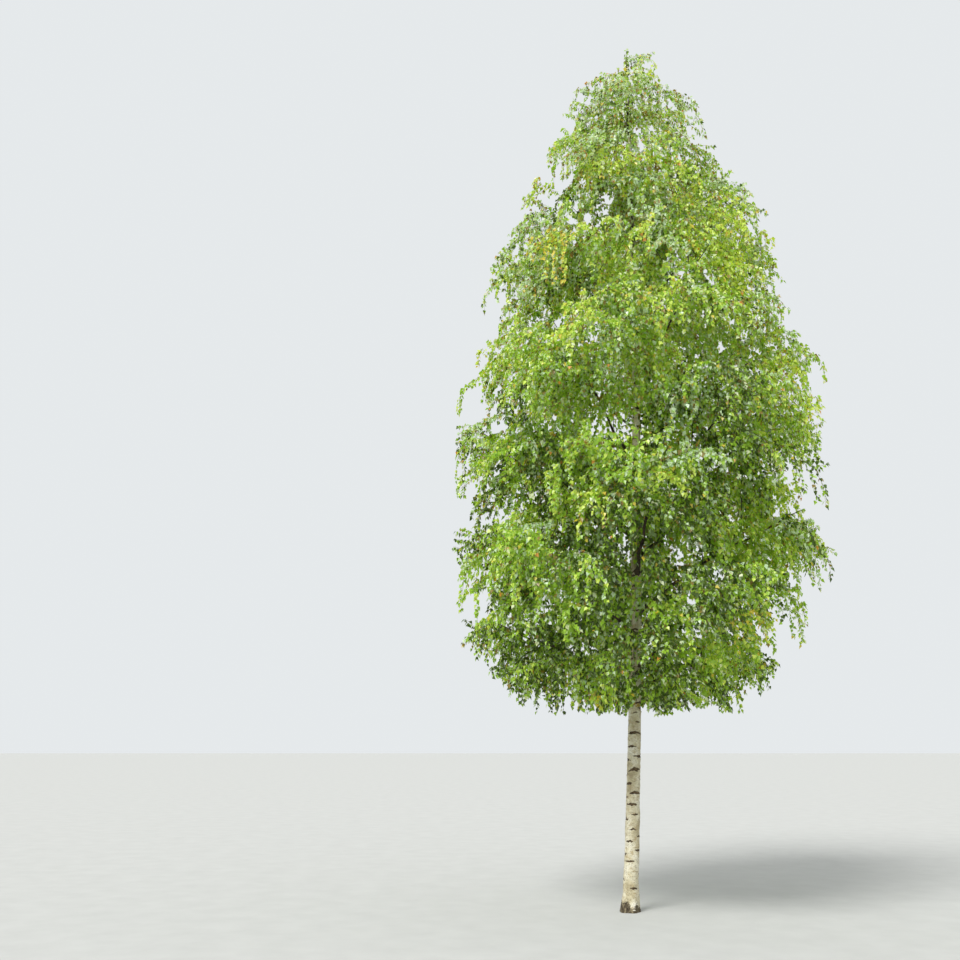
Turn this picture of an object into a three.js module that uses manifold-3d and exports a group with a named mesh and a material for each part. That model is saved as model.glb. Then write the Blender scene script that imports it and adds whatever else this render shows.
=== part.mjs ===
// A silver birch about ten metres tall, grown in a row: a straight white stem that is bare to head height,
// dark ascending boughs set round it in a spiral, and an ovoid crown of arching twigs with hanging leaves.
// Millimetres, +Z up. The origin is the middle of the flat cut under the trunk, at ground level.
import * as THREE from "three";
import { mergeVertices } from "three/addons/utils/BufferGeometryUtils.js";
import Module from "manifold-3d";

// Height and crown
const TREE_HEIGHT = 10200;
const CROWN_FOOT = 1950; // lowest hanging leaf
const CROWN_RADIUS = 2280;
const CROWN_SHOULDER = 2.2; // the powers by which the crown narrows to its top
const CROWN_POINT = 0.8;
const CROWN_TUCK = 0.52; // how far the crown draws in at its foot
const TUCK_HEIGHT = 0.085; // share of the crown's height over which it does

// Trunk
const TRUNK_TOP = 8800; // where the leader enters the top mass
const TRUNK_RADIUS = 72; // bare stem near the ground, without the flare
const TRUNK_VANISH = 9700; // height at which the taper would end
const TRUNK_TAPER = 0.82;
const LEADER_RADIUS = 5; // added all the way up, so that the leader keeps some body
const TRUNK_SIDES = 12;
const TRUNK_RINGS = 18;
const RING_SPREAD = 1.7; // rings lie closer together towards the flare
const LEAN = 400; // towards +X, reached little by little
const LEAN_HEIGHT = 4900;
const SWAY = 55; // slow bend along Y
const SWAY_LENGTH = 7600;
const FLARE = 25;
const FLARE_HEIGHT = 120;
const FLARE_LOBES = 5;
const FLARE_LOBE_SHARE = 0.32;

// Boughs
const BOUGH_COUNT = 22;
const LOWEST_MASS = 2500; // height of the middle of the lowest mass
const HIGHEST_MASS = 8750; // and of the highest one at the crown's side
const TOP_MASS = 9400; // and of the one round the leader
const MASS_STEP = 10; // heights are whole steps above the lowest
const LOWEST_ROOT = 2120; // height where the lowest bough leaves the trunk
const ROOT_STEP = 40; // least rise from each bough's root to the next
const TURN = Math.PI * (3 - Math.sqrt(5)); // from each bough to the next one up
const FIRST_TURN = 0.42;
const TURN_SPREAD = 0.35;
const RISE_LOW = 30; // degrees, lowest boughs
const RISE_HIGH = 60; // degrees, highest boughs
const MASS_MIDDLE = 0.62; // where a mass has its middle, as a share of its reach
const LEAST_REACH = 0.86; // a mass reaches this share of the crown's radius or more
const BOUGH_SHARE = 0.36; // bough's root radius as a share of the trunk's
const LEAST_BOUGH = 9; // smallest root radius
const LIMB_TAPER = 0.3; // radius at the far end of bough and stem, as a share of the root's
const LIMB_BEND = 0.52; // how far out the arching limb keeps its first direction
const LEAST_SPLIT = 0.36; // a bough is at least this share of the limb
const SPLIT_STEP = 0.01;
const BOUGH_SIDES = 5;
const BOUGH_SEGMENTS = 3;
const CLEAR = 0.32; // gap between a limb and what it meets
const STEEP = 0.95; // a limb whose heading rises more than this counts as upright

// Masses of foliage
const STEM_SIDES = 4;
const STEM_SEGMENTS = 3;
const STEM_STEP = 20; // a stem is lengthened by this much at a time
const STEM_LIFT = 0.25; // and rises by this share of it
const STEM_END_GAP = 160; // it ends this far inside its space
const TOP_STEM_GAP = 180; // the top one ends this far under the treetop
const TWIGS = 6; // on each stem
const PLACES_TRIED = 14; // places compared for each twig's tip
const MOST_DRAWS = 800; // draws made to find them
const TIP_BOX = 1500; // half the box that they are drawn in
const TIP_MARGIN = 110;
const TWIG_RADIUS = 6.5;
const TWIG_TIP_RADIUS = 5;
const TWIG_SHARE = 0.65; // of the stem's radius where it starts, at most
const TWIG_SEGMENTS = 2;
const TWIG_ARCH = 0.2; // height of a twig's arch, as a share of its span
const TWIG_FORWARD = 0.55; // how far down the stem a twig starts, as a share of its span
const LEAST_TWIG_START = 0.1;
const STEM_PLACES = 25; // compared for where a twig starts
const TWIG_PROBES = [0.25, 0.5, 0.75]; // along it, where its space is told
const LEAF_PLACES = [0.3, 0.52, 0.76, 0.995]; // along each twig
const TWIG_OVERRUN = 0.005; // past its last leaf, as a share of its length
const LEAF_LENGTH = 640; // each leaf stands for a spray
const LEAF_WIDTH = 520;
const LEAF_WIDEST = 0.5; // share of its length
const LEAF_RIDGE = 7;
const LEAF_ROOT = 3;
const LEAF_SIZES = [1, 0.85, 0.7, 0.55, 0.4]; // tried one after the other
const LEAF_TRIES = 6; // turns tried at each size
const LEAF_GAP = 92; // between points spread over two leaves
const LEAF_PROBES = [0.25, LEAF_WIDEST, 0.6, 0.8, 1]; // along the leaf, where those points are
const LEAF_AHEAD = 0.25; // a side leaf's share of its twig's heading
const LEAF_OUT = 0.3; // its turn away from the trunk
const LEAF_DROOP = [0.3, 0.8]; // and down, from least to most
const LEAF_TURN = 0.5; // spread of its heading
const FACE_UP = [0.1, 0.6]; // how far its face turns up, beside out
const FACE_TURN = 0.8; // spread of its facing
const SPACE_GAP = 14; // between the spaces of two masses
const LIMB_MARGIN = 30;
const TWIG_MARGIN = 30;
const TRUNK_RUN = 250; // straight stretches of trunk that leaves are kept clear of
const SEED = 4177;

const UP = new THREE.Vector3(0, 0, 1);
const wasm = await Module();
wasm.setup();

const bark = new THREE.MeshStandardMaterial({ color: 0xd8d2c4, roughness: 0.8, metalness: 0 });
const darkBark = new THREE.MeshStandardMaterial({ color: 0x3b2c22, roughness: 0.85, metalness: 0 });
const leafGreen = new THREE.MeshStandardMaterial({ color: 0x55852f, roughness: 0.55, metalness: 0 });

// Numbers from 0 to 1 that are the same on every run
function seeded(seed) {
  let state = seed >>> 0;
  return () => {
    state = (Math.imul(state, 1664525) + 1013904223) >>> 0;
    return state / 4294967296;
  };
}

function between([from, to], share) {
  return from + (to - from) * share;
}

// Middle of the trunk at a height
function axisAt(z) {
  const lean = LEAN * (1 - Math.exp(-z / LEAN_HEIGHT));
  return new THREE.Vector3(lean, SWAY * Math.sin((2 * Math.PI * z) / SWAY_LENGTH), z);
}

function trunkRadius(z) {
  return TRUNK_RADIUS * Math.pow(Math.max(0, 1 - z / TRUNK_VANISH), TRUNK_TAPER) + LEADER_RADIUS;
}

// How far the crown reaches from the trunk's middle at a height
function crownRadius(z) {
  const s = (z - CROWN_FOOT) / (TREE_HEIGHT - CROWN_FOOT);
  if (s < 0 || s > 1) return 0;
  const narrowing = Math.pow(1 - Math.pow(s, CROWN_SHOULDER), CROWN_POINT);
  return CROWN_RADIUS * narrowing * (1 - CROWN_TUCK * Math.exp(-s / TUCK_HEIGHT));
}

// A closed solid of a geometry, with the corners that lie together made one
function solidOf(geometry) {
  geometry.deleteAttribute("normal");
  geometry.deleteAttribute("uv");
  const merged = mergeVertices(geometry, 1e-3);
  const vertProperties = new Float32Array(merged.attributes.position.array);
  const triVerts = new Uint32Array(merged.index.array);
  return new wasm.Manifold(new wasm.Mesh({ numProp: 3, vertProperties, triVerts }));
}

function numbered(name, i) {
  return `${name}_${String(i + 1).padStart(2, "0")}`;
}

function meshOf(name, solid, material) {
  const m = solid.getMesh();
  const geometry = new THREE.BufferGeometry();
  geometry.setAttribute("position", new THREE.BufferAttribute(new Float32Array(m.vertProperties), 3));
  geometry.setIndex(new THREE.BufferAttribute(new Uint32Array(m.triVerts), 1));
  const mesh = new THREE.Mesh(geometry, material);
  mesh.name = name;
  return mesh;
}

// A prism on a regular outline, with each corner moved: place(x, y, along) gives the new corner for its
// place on the unit circle and its share of the length.
function shapedPrism(sides, segments, place) {
  const outline = new THREE.Shape();
  for (let k = 0; k < sides; k++) {
    const angle = (2 * Math.PI * k) / sides;
    if (k === 0) outline.moveTo(1, 0);
    else outline.lineTo(Math.cos(angle), Math.sin(angle));
  }
  const geometry = new THREE.ExtrudeGeometry(outline, { depth: 1, steps: segments, bevelEnabled: false });
  const corners = geometry.getAttribute("position");
  for (let i = 0; i < corners.count; i++) {
    const p = place(corners.getX(i), corners.getY(i), corners.getZ(i));
    corners.setXYZ(i, p.x, p.y, p.z);
  }
  return solidOf(geometry);
}

// The trunk, or one that is a little thicker all round, to cut the boughs with
function trunkSolid(thicker) {
  return shapedPrism(TRUNK_SIDES, TRUNK_RINGS, (x, y, along) => {
    const height = TRUNK_TOP * Math.pow(along, RING_SPREAD);
    const lobes = 1 + FLARE_LOBE_SHARE * Math.cos(FLARE_LOBES * Math.atan2(y, x));
    const radius = trunkRadius(height) + FLARE * lobes * Math.exp(-height / FLARE_HEIGHT) + thicker;
    return axisAt(height).add(new THREE.Vector3(x * radius, y * radius, 0));
  });
}

// A limb along a curve, with its radius tapering from one value to the other
function limbSolid(curve, from, to, sides, segments) {
  return shapedPrism(sides, segments, (x, y, along) => {
    const tangent = curve.getTangent(along);
    const aside = Math.abs(tangent.z) > STEEP ? new THREE.Vector3(1, 0, 0) : UP;
    const side = new THREE.Vector3().crossVectors(tangent, aside).normalize();
    const top = new THREE.Vector3().crossVectors(tangent, side);
    const radius = from + (to - from) * along;
    return curve.getPoint(along).addScaledVector(side, x * radius).addScaledVector(top, y * radius);
  });
}

// Heights of the masses' middles: closer together where the crown is wide, for masses of like size
function massHeights() {
  const sums = [];
  let total = 0;
  for (let z = LOWEST_MASS; z <= HIGHEST_MASS; z += MASS_STEP) {
    total += crownRadius(z);
    sums.push(total);
  }
  return Array.from({ length: BOUGH_COUNT }, (_, i) => {
    const wanted = (total * i) / (BOUGH_COUNT - 1);
    return LOWEST_MASS + MASS_STEP * Math.max(0, sums.findIndex((sum) => sum >= wanted));
  });
}

// The plan of the crown: for each mass its middle and reach, and where its limb starts and how it sets off
function crownPlan() {
  const draw = seeded(SEED);
  const plan = massHeights().map((height, i) => {
    const angle = FIRST_TURN + TURN * i + TURN_SPREAD * (draw() - 0.5);
    const reach = LEAST_REACH + (1 - LEAST_REACH) * draw();
    const out = new THREE.Vector3(Math.cos(angle), Math.sin(angle), 0);
    const run = MASS_MIDDLE * reach * crownRadius(height);
    const up = (height - LOWEST_MASS) / (HIGHEST_MASS - LOWEST_MASS);
    const rise = THREE.MathUtils.degToRad(RISE_LOW + (RISE_HIGH - RISE_LOW) * up);
    const rootHeight = Math.max(LOWEST_ROOT + ROOT_STEP * i, height - run * Math.tan(rise));
    const start = out.clone().multiplyScalar(Math.cos(rise)).addScaledVector(UP, Math.sin(rise));
    return { out, reach, start, middle: axisAt(height).addScaledVector(out, run), root: axisAt(rootHeight) };
  });
  plan.push({ out: null, reach: 1, start: UP, middle: axisAt(TOP_MASS), root: axisAt(TRUNK_TOP) });
  return plan;
}

// The planes halfway from each mass's middle to the others, which bound its own space
function spacePlanes(plan) {
  return plan.map((mass) =>
    plan.filter((other) => other !== mass).map((other) => {
      const normal = other.middle.clone().sub(mass.middle).normalize();
      const halfway = other.middle.clone().add(mass.middle).multiplyScalar(0.5);
      return { normal, limit: halfway.dot(normal) - SPACE_GAP / 2 };
    }),
  );
}

const plan = crownPlan();
const planes = spacePlanes(plan);

// True where a point lies in a mass's own space, a margin or more inside its planes and the crown's outside
function inSpace(point, i, margin) {
  if (point.z < CROWN_FOOT || point.z > TREE_HEIGHT) return false;
  const axis = axisAt(point.z);
  const reach = crownRadius(point.z) * plan[i].reach;
  if (Math.hypot(point.x - axis.x, point.y - axis.y) > reach - margin) return false;
  return planes[i].every(({ normal, limit }) => point.dot(normal) < limit - margin);
}

// The far end of a mass's stem: out and a little up from its middle, while that stays in its space
function stemEnd(i) {
  const { out, middle } = plan[i];
  if (!out) return axisAt(TREE_HEIGHT - TOP_STEM_GAP);
  const step = out.clone().addScaledVector(UP, STEM_LIFT).normalize().multiplyScalar(STEM_STEP);
  const end = middle.clone();
  while (inSpace(end, i, STEM_END_GAP)) end.add(step);
  return end.sub(step);
}

// Part of an arching curve, from one of its places to another that is its start or its end
function curveBefore(curve, t) {
  return new THREE.QuadraticBezierCurve3(curve.v0, curve.v0.clone().lerp(curve.v1, t), curve.getPoint(t));
}

function curveAfter(curve, t) {
  return new THREE.QuadraticBezierCurve3(curve.getPoint(t), curve.v1.clone().lerp(curve.v2, t), curve.v2);
}

// Bough and stem share one arching curve, and part where it enters the mass's space. The top has no bough.
function limbOf(i) {
  const { out, start, root } = plan[i];
  const end = stemEnd(i);
  const bend = root.clone().addScaledVector(start, LIMB_BEND * root.distanceTo(end));
  const whole = new THREE.QuadraticBezierCurve3(root, bend, end);
  const radius = out ? Math.max(LEAST_BOUGH, BOUGH_SHARE * trunkRadius(root.z)) : trunkRadius(TRUNK_TOP);
  let split = out ? 1 : 0;
  const within = (t) => inSpace(whole.getPoint(t), i, LIMB_MARGIN);
  while (split > LEAST_SPLIT && within(split - SPLIT_STEP)) split -= SPLIT_STEP;
  const gap = CLEAR / whole.getLength();
  return {
    bough: out ? curveBefore(whole, split) : null,
    stem: curveAfter(whole, split + gap),
    radius,
    splitRadius: radius * (1 - (1 - LIMB_TAPER) * split),
    endRadius: radius * LIMB_TAPER,
  };
}

const limbs = plan.map((_, i) => limbOf(i));

// The middle line of a curve as short straight runs, each with the distance that leaves keep from it
function runsOf(curve, segments, reach) {
  const points = curve.getPoints(segments);
  return points.slice(1).map((to, k) => ({ from: points[k], to, reach }));
}

function limbRuns() {
  const runs = [];
  for (let z = 0; z < TRUNK_TOP; z += TRUNK_RUN) {
    runs.push({ from: axisAt(z), to: axisAt(z + TRUNK_RUN), reach: trunkRadius(z) + LIMB_MARGIN });
  }
  for (const { bough, radius } of limbs.filter((limb) => limb.bough)) {
    runs.push(...runsOf(bough, BOUGH_SEGMENTS, radius + LIMB_MARGIN));
  }
  return runs;
}

const trunkAndBoughs = limbRuns();

function clearOf(runs, point) {
  return runs.every(({ from, to, reach }) => {
    const along = to.clone().sub(from);
    const t = THREE.MathUtils.clamp(point.clone().sub(from).dot(along) / along.lengthSq(), 0, 1);
    return point.distanceTo(from.clone().addScaledVector(along, t)) > reach;
  });
}

// A place for a twig's tip: of some drawn in the mass's space, the one furthest from the places taken so far
function twigTip(i, draw, taken) {
  let best = null;
  let bestGap = 0;
  for (let tried = 0, found = 0; found < PLACES_TRIED && tried < MOST_DRAWS; tried++) {
    const offset = new THREE.Vector3(draw() - 0.5, draw() - 0.5, draw() - 0.5);
    const place = plan[i].middle.clone().addScaledVector(offset, 2 * TIP_BOX);
    if (!inSpace(place, i, TIP_MARGIN) || !clearOf(trunkAndBoughs, place)) continue;
    found++;
    const gap = Math.min(...taken.map((other) => other.distanceTo(place)));
    if (gap > bestGap) {
      bestGap = gap;
      best = place;
    }
  }
  return best;
}

// Where a twig leaves its stem: below the place nearest to its tip, so that it leans forward
function twigStart(stem, tip) {
  let nearest = 0;
  let gap = Infinity;
  for (let k = 1; k < STEM_PLACES; k++) {
    const distance = stem.getPoint(k / STEM_PLACES).distanceTo(tip);
    if (distance < gap) {
      gap = distance;
      nearest = k / STEM_PLACES;
    }
  }
  return Math.max(LEAST_TWIG_START, nearest - (TWIG_FORWARD * gap) / stem.getLength());
}

function arching(from, to) {
  const bend = from.clone().lerp(to, 0.5).addScaledVector(UP, TWIG_ARCH * from.distanceTo(to));
  return new THREE.QuadraticBezierCurve3(from, bend, to);
}

// The six corners of a leaf: a kite with a ridge, and thick at its root, which is sunk in the twig
function leafCorners(root, heading, facing, size) {
  const length = LEAF_LENGTH * size;
  const half = (LEAF_WIDTH * size) / 2;
  const across = new THREE.Vector3().crossVectors(facing, heading).normalize();
  const above = new THREE.Vector3().crossVectors(heading, across);
  const at = (along, aside, over) =>
    root.clone().addScaledVector(heading, along).addScaledVector(across, aside).addScaledVector(above, over);
  return {
    rootTop: at(0, 0, LEAF_ROOT / 2),
    rootUnder: at(0, 0, -LEAF_ROOT / 2),
    left: at(LEAF_WIDEST * length, half, 0),
    right: at(LEAF_WIDEST * length, -half, 0),
    ridge: at(LEAF_WIDEST * length, 0, LEAF_RIDGE),
    tip: at(length, 0, 0),
  };
}

// An octahedron with its corners moved to the leaf's
function leafSolid(leaf) {
  const geometry = new THREE.OctahedronGeometry(1);
  const corners = geometry.getAttribute("position");
  const places = [
    [leaf.rootTop, leaf.tip],
    [leaf.right, leaf.left],
    [leaf.rootUnder, leaf.ridge],
  ];
  for (let i = 0; i < corners.count; i++) {
    const corner = [corners.getX(i), corners.getY(i), corners.getZ(i)];
    const axis = corner.findIndex((value) => Math.abs(value) > 0.5);
    const p = places[axis][corner[axis] > 0 ? 1 : 0];
    corners.setXYZ(i, p.x, p.y, p.z);
  }
  return solidOf(geometry);
}

// Points spread over a leaf, by which its distance from limbs and other leaves is told
function leafPoints(leaf) {
  const points = [];
  for (const t of LEAF_PROBES) {
    const wide = t < LEAF_WIDEST ? t / LEAF_WIDEST : (1 - t) / (1 - LEAF_WIDEST);
    const middle = leaf.rootUnder.clone().lerp(leaf.tip, t);
    const half = leaf.left.clone().sub(leaf.right).multiplyScalar(wide / 2);
    points.push(middle, middle.clone().add(half), middle.clone().sub(half));
  }
  return points;
}

// The level direction from the trunk's middle to a point, or any one for a point on the trunk itself
function outwardFrom(point, draw) {
  const axis = axisAt(point.z);
  const out = new THREE.Vector3(point.x - axis.x, point.y - axis.y, 0);
  const turn = 2 * Math.PI * draw();
  if (out.length() < TRUNK_RADIUS) out.set(Math.cos(turn), Math.sin(turn), 0);
  return out.normalize();
}

// A leaf that hangs outward from one side of its twig (1 or -1) or from its tip (0), its face turned out and
// up. The first turn and size that fits its space is taken, or else there is no leaf.
function leafAt(root, along, side, draw, fits) {
  const out = outwardFrom(root, draw);
  const across = new THREE.Vector3().crossVectors(Math.abs(along.z) > STEEP ? out : along, UP).normalize();
  for (const size of LEAF_SIZES) {
    for (let tried = 0; tried < LEAF_TRIES; tried++) {
      const heading = along.clone().multiplyScalar(side ? LEAF_AHEAD : 1);
      heading.addScaledVector(across, side + LEAF_TURN * (draw() - 0.5)).addScaledVector(out, LEAF_OUT);
      heading.addScaledVector(UP, -between(LEAF_DROOP, draw())).normalize();
      const facing = out.clone().addScaledVector(UP, between(FACE_UP, draw()));
      facing.addScaledVector(across, FACE_TURN * (draw() - 0.5)).normalize();
      const leaf = leafCorners(root, heading, facing, size);
      leaf.points = leafPoints(leaf);
      if (fits(leaf)) return leaf;
    }
  }
  return null;
}

// Twigs on one stem, each an arch to a place of its own in the mass's space
function growTwigs(i, draw) {
  const { stem } = limbs[i];
  const taken = [stem.v0, stem.v2];
  const twigs = [];
  for (let k = 0; k < TWIGS; k++) {
    const tip = twigTip(i, draw, taken);
    if (!tip) continue;
    const start = twigStart(stem, tip);
    const curve = arching(stem.getPoint(start), tip);
    const fits = TWIG_PROBES.every((t) => {
      const point = curve.getPoint(t);
      return inSpace(point, i, TWIG_RADIUS) && clearOf(trunkAndBoughs, point);
    });
    if (!fits) continue;
    taken.push(tip);
    twigs.push({ curve, start });
  }
  return twigs;
}

// The twigs and leaves of one mass. A twig ends at its last leaf, and one that would bear none is left out.
function growMass(i) {
  const draw = seeded(SEED + 101 * (i + 1));
  const { stem } = limbs[i];
  const twigs = growTwigs(i, draw);
  const runs = [...trunkAndBoughs, ...runsOf(stem, STEM_SEGMENTS, TWIG_MARGIN)];
  twigs.forEach(({ curve }) => runs.push(...runsOf(curve, TWIG_SEGMENTS, TWIG_MARGIN)));
  const leaves = [];
  const fits = ({ points, left, right, ridge, tip }) =>
    [left, right, ridge, tip].every((p) => inSpace(p, i, 0)) &&
    points.every((p) => clearOf(runs, p)) &&
    points.every((p) => leaves.every((other) => other.points.every((q) => p.distanceTo(q) > LEAF_GAP)));
  const bear = (curve) => {
    let last = 0;
    LEAF_PLACES.forEach((place, k) => {
      const side = k === LEAF_PLACES.length - 1 ? 0 : 1 - 2 * (k % 2);
      const leaf = leafAt(curve.getPoint(place), curve.getTangent(place), side, draw, fits);
      if (!leaf) return;
      leaves.push(leaf);
      last = place;
    });
    return last;
  };
  bear(stem);
  const bearing = [];
  for (const { curve, start } of twigs) {
    const last = bear(curve);
    if (last) bearing.push({ curve: curveBefore(curve, Math.min(1, last + TWIG_OVERRUN)), start });
  }
  return { twigs: bearing, leaves };
}

// One mass as one solid: stem, twigs and leaves joined, without what would touch a limb or hang loose
function massSolid(i, limbSolids) {
  const { stem, splitRadius, endRadius } = limbs[i];
  const { twigs, leaves } = growMass(i);
  const pieces = [limbSolid(stem, splitRadius, endRadius, STEM_SIDES, STEM_SEGMENTS)];
  for (const { curve, start } of twigs) {
    const thick = Math.min(TWIG_RADIUS, TWIG_SHARE * (splitRadius + (endRadius - splitRadius) * start));
    pieces.push(limbSolid(curve, thick, Math.min(TWIG_TIP_RADIUS, thick), 3, TWIG_SEGMENTS));
  }
  pieces.push(...leaves.map(leafSolid));
  const clear = pieces.filter((piece) => piece.intersect(limbSolids).isEmpty());
  const mass = clear.reduce((whole, piece) => whole.add(piece));
  return mass.decompose().sort((a, b) => b.volume() - a.volume())[0];
}

const birch = new THREE.Group();
birch.add(meshOf("trunk", trunkSolid(0), bark));
const trunkSpace = trunkSolid(CLEAR);
const boughSolids = limbs.filter((limb) => limb.bough).map(({ bough, radius, splitRadius }) =>
  limbSolid(bough, radius, splitRadius, BOUGH_SIDES, BOUGH_SEGMENTS).subtract(trunkSpace),
);
const limbSolids = boughSolids.reduce((whole, bough) => whole.add(bough), trunkSpace);
boughSolids.forEach((bough, i) => birch.add(meshOf(numbered("bough", i), bough, darkBark)));
plan.forEach((mass, i) => {
  const name = mass.out ? numbered("foliage", i) : "foliage_top";
  birch.add(meshOf(name, massSolid(i, limbSolids), leafGreen));
});

export default birch;
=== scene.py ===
"""A silver birch about ten metres tall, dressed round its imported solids.

The crown grows by the same rule as the solids: a trunk, boughs in a spiral, a mass of foliage at the end
of each, and in every mass a stem, arching twigs and places for leaves. Here each of those places bears a
spray of twiglets with small leaves. Metres, +Z up, origin in the middle of the flat cut under the trunk.
"""
import math
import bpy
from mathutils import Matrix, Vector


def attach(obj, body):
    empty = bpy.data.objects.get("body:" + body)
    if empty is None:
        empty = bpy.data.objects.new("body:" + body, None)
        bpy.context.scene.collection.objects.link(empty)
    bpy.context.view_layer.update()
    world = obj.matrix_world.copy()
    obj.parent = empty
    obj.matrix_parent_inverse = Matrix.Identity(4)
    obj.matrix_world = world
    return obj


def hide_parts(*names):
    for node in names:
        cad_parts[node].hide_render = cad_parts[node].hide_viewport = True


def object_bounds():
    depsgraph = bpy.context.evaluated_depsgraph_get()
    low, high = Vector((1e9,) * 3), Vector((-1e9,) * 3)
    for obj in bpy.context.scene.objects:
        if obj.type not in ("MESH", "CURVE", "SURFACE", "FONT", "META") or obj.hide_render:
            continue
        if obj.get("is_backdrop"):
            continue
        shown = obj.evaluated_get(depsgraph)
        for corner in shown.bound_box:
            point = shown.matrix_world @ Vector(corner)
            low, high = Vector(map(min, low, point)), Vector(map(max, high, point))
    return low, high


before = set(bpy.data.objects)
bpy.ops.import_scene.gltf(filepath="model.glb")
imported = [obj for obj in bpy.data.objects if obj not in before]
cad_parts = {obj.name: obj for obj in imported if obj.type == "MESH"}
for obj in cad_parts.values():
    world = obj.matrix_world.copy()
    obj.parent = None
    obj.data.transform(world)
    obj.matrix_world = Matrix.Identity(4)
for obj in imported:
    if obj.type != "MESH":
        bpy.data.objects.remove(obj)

from types import SimpleNamespace as Named

import bpy
import numpy as np
from numpy.linalg import norm

CAD_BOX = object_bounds()
scene = bpy.context.scene

# Height and crown, as in the solids
TREE_HEIGHT = 10.2
CROWN_FOOT = 1.95
CROWN_RADIUS = 2.28
CROWN_SHOULDER = 2.2
CROWN_POINT = 0.8
CROWN_TUCK = 0.52
TUCK_HEIGHT = 0.085

# Trunk, as in the solids
TRUNK_TOP = 8.8
TRUNK_RADIUS = 0.072
TRUNK_VANISH = 9.7
TRUNK_TAPER = 0.82
LEADER_RADIUS = 0.005
LEAN = 0.4
LEAN_HEIGHT = 4.9
SWAY = 0.055
SWAY_LENGTH = 7.6
FLARE = 0.025
FLARE_HEIGHT = 0.12
FLARE_LOBES = 5
FLARE_LOBE_SHARE = 0.32

# Boughs, as in the solids
BOUGH_COUNT = 22
LOWEST_MASS = 2.5
HIGHEST_MASS = 8.75
TOP_MASS = 9.4
MASS_STEP = 0.01
LOWEST_ROOT = 2.12
ROOT_STEP = 0.04
TURN = math.pi * (3 - math.sqrt(5))
FIRST_TURN = 0.42
TURN_SPREAD = 0.35
RISES = (30, 60)
MASS_MIDDLE = 0.62
LEAST_REACH = 0.86
BOUGH_SHARE = 0.36
LEAST_BOUGH = 0.009
LIMB_TAPER = 0.3
LIMB_BEND = 0.52
LEAST_SPLIT = 0.36
SPLIT_STEP = 0.01
BOUGH_SEGMENTS = 3
CLEAR = 0.00032
STEEP = 0.95

# Twigs and places for leaves, as in the solids
STEM_SEGMENTS = 3
STEM_STEP = 0.02
STEM_LIFT = 0.25
STEM_END_GAP = 0.16
TOP_STEM_GAP = 0.18
TWIGS = 6
PLACES_TRIED = 14
MOST_DRAWS = 800
TIP_BOX = 1.5
TIP_MARGIN = 0.11
TWIG_RADIUS = 0.0065
TWIG_SHARE = 0.65
TWIG_SEGMENTS = 2
TWIG_ARCH = 0.2
TWIG_FORWARD = 0.55
LEAST_TWIG_START = 0.1
STEM_PLACES = 25
TWIG_PROBES = (0.25, 0.5, 0.75)
LEAF_PLACES = (0.3, 0.52, 0.76, 0.995)
TWIG_OVERRUN = 0.005
SPRAY_LENGTH = 0.64
SPRAY_WIDTH = 0.52
SPRAY_WIDEST = 0.5
SPRAY_RIDGE = 0.007
SPRAY_ROOT = 0.003
SPRAY_SIZES = (1, 0.85, 0.7, 0.55, 0.4)
SPRAY_TRIES = 6
SPRAY_GAP = 0.092
SPRAY_PROBES = (0.25, SPRAY_WIDEST, 0.6, 0.8, 1)
SPRAY_AHEAD = 0.25
SPRAY_OUT = 0.3
SPRAY_DROOP = (0.3, 0.8)
SPRAY_TURN = 0.5
FACE_UP = (0.1, 0.6)
FACE_TURN = 0.8
SPACE_GAP = 0.014
LIMB_MARGIN = 0.03
TWIG_MARGIN = 0.03
TRUNK_RUN = 0.25
SEED = 4177
MASS_SEEDS = 101

# Sprays, which only this script grows
MORE_SPRAYS = 21  # in each mass, beside the solids' own
MORE_TRIED = 9
MORE_PLACES = (0.15, 1.0)
MORE_OVERREACH = 0.14  # how far they may leave their mass's own space
TWIGLET_STEP = 0.062  # between side twiglets
TWIGLET_ANGLE = math.radians(50)
TWIGLET_ROLL = 0.5  # out of the spray's plane
TWIGLET_SAG = 0.18
TWIGLET_OFFSET = 0.6  # where in its step a side twiglet starts
TWIGLET_REACHES = (0.7, 1.2)
TWIGLET_BEND = 0.55
TWIGLET_RADII = (0.0019, 0.0008)
TWIGLET_RINGS = 3
TWIGLET_OVERREACH = 0.03  # how far a tip may pass the crown's outside
BOX_OVERREACH = 0.075  # and the box of the solids
MAIN_ARCH = 0.04
MAIN_SHARE = 0.94
MAIN_SAG = 0.06
LEAST_WIDE = 0.3
HANGING_SHARE = 0.4  # of the side twiglets end in a hanging one
HANGING_LENGTHS = (0.08, 0.28)
HANGING_AHEAD = 0.25
HANGING_BEND = (0.3, 0.2)  # ahead and down
NODE_STEP = 0.0255  # between places for leaves on a twiglet
BARE_STEP = 0.032  # the same on stems and twigs
PAIR_SHARE = 0.85  # of those places bear two leaves
NODE_STRAY = 0.3
NODE_SHIFT = 0.06
EDGE_HEIGHT = 0.02  # over the crown's foot, where its edge is read
STEM_RINGS = 24
STEM_WINDING = 0.02
STEM_FINENESS = 0.6  # a stem's end, beside the solid's
TWIG_RINGS = 12
TWIG_WINDING = 0.025
TWIG_FINENESS = 0.35

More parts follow.
